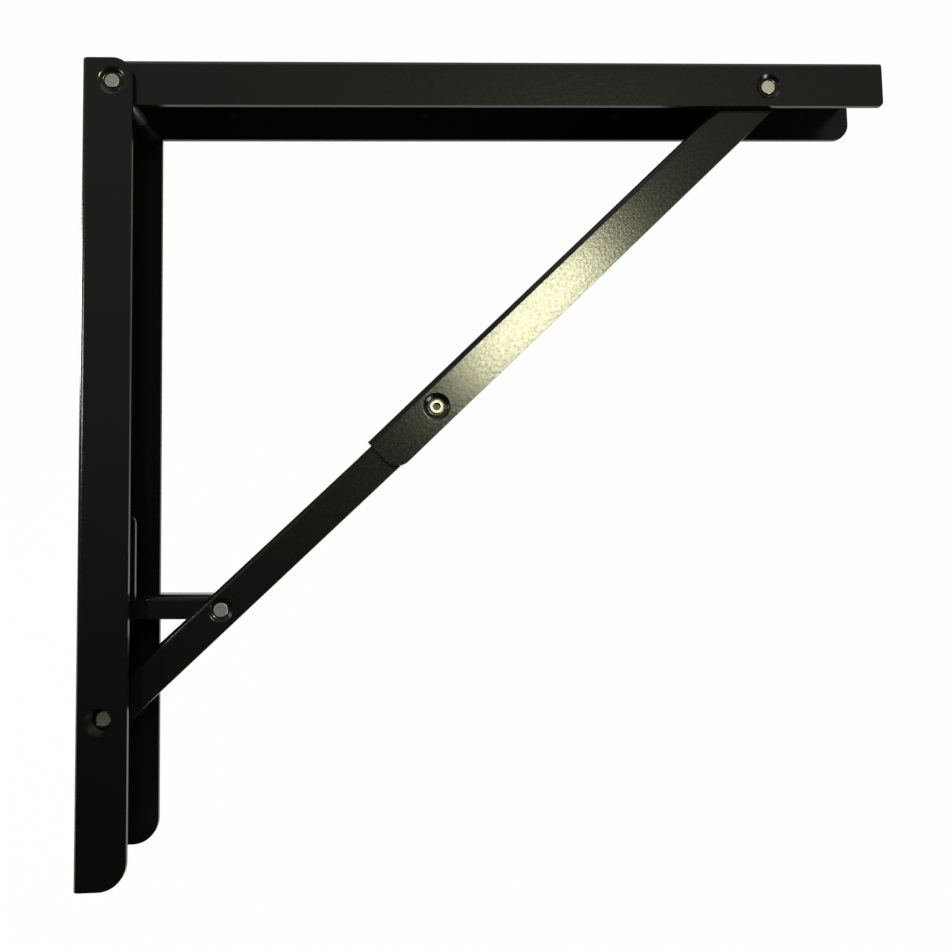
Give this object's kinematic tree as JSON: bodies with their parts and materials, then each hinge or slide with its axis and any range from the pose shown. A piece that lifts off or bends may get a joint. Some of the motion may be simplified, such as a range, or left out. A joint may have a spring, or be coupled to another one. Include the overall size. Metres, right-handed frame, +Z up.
{
  "type": "folding shelf bracket",
  "caption": "Right-angle shelf bracket of nested pressed steel channels, with a two-part over-centre brace that folds down flat against the wall.",
  "frame": {"origin": "on the back face of the wall rail's web, in the bracket's middle plane, level with the corner pivot", "axes": "+X out from the wall, +Z up towards the shelf, +Y across the bracket, away from a viewer who sees the shelf rail on the right"},
  "size_m": [0.4086, 0.046, 0.4049],
  "materials": {
    "black_coat": "satin black powder coat with a fine orange peel",
    "zinc": "bare zinc-plated rivet ends"
  },
  "bodies": {
    "frame": {"wall_rail": "black_coat", "foot_rivet": "zinc", "corner_rivet_ends": "zinc"},
    "lower_brace": {"lower_brace": "black_coat", "link_rivet": "zinc"},
    "upper_brace": {"upper_brace": "black_coat", "knee_rivet": "zinc"},
    "shelf": {"shelf_rail": "black_coat", "corner_rivet": "zinc", "tip_rivet": "zinc"},
    "release_link": {"release_link": "black_coat", "shoe_rivet": "zinc"},
    "guide_shoe": {"guide_shoe": "black_coat"}
  },
  "joints": [
    {"name": "fold", "type": "hinge", "parent": "frame", "child": "lower_brace", "pos_m": [0.011, 0, -0.314], "axis": [0, -1, 0], "range_deg": [0, 44.95]},
    {"name": "knee", "type": "hinge", "parent": "lower_brace", "child": "upper_brace", "pos_m": [0.17357, 0, -0.16481], "axis": [0, 1, 0], "range_deg": [0, 171.63]},
    {"name": "tip_pivot", "type": "hinge", "parent": "upper_brace", "child": "shelf", "pos_m": [0.3483, 0, -0.0005], "axis": [0, -1, 0], "range_deg": [0, 42.49]},
    {"name": "link_pivot", "type": "hinge", "parent": "lower_brace", "child": "release_link", "pos_m": [0.06582, 0, -0.2637], "axis": [0, 1, 0], "range_deg": [0, 134.9]},
    {"name": "shoe_pivot", "type": "hinge", "parent": "release_link", "child": "guide_shoe", "pos_m": [0.01663, 0, -0.2625], "axis": [0, -1, 0], "range_deg": [0, 89.95]}
  ],
  "couplings": [
    {"joint": "knee", "follows": "fold", "ratio": 3.8178},
    {"joint": "tip_pivot", "follows": "fold", "ratio": 0.94499},
    {"joint": "link_pivot", "follows": "fold", "ratio": 3.0008},
    {"joint": "shoe_pivot", "follows": "fold", "ratio": 2.0008}
  ]
}
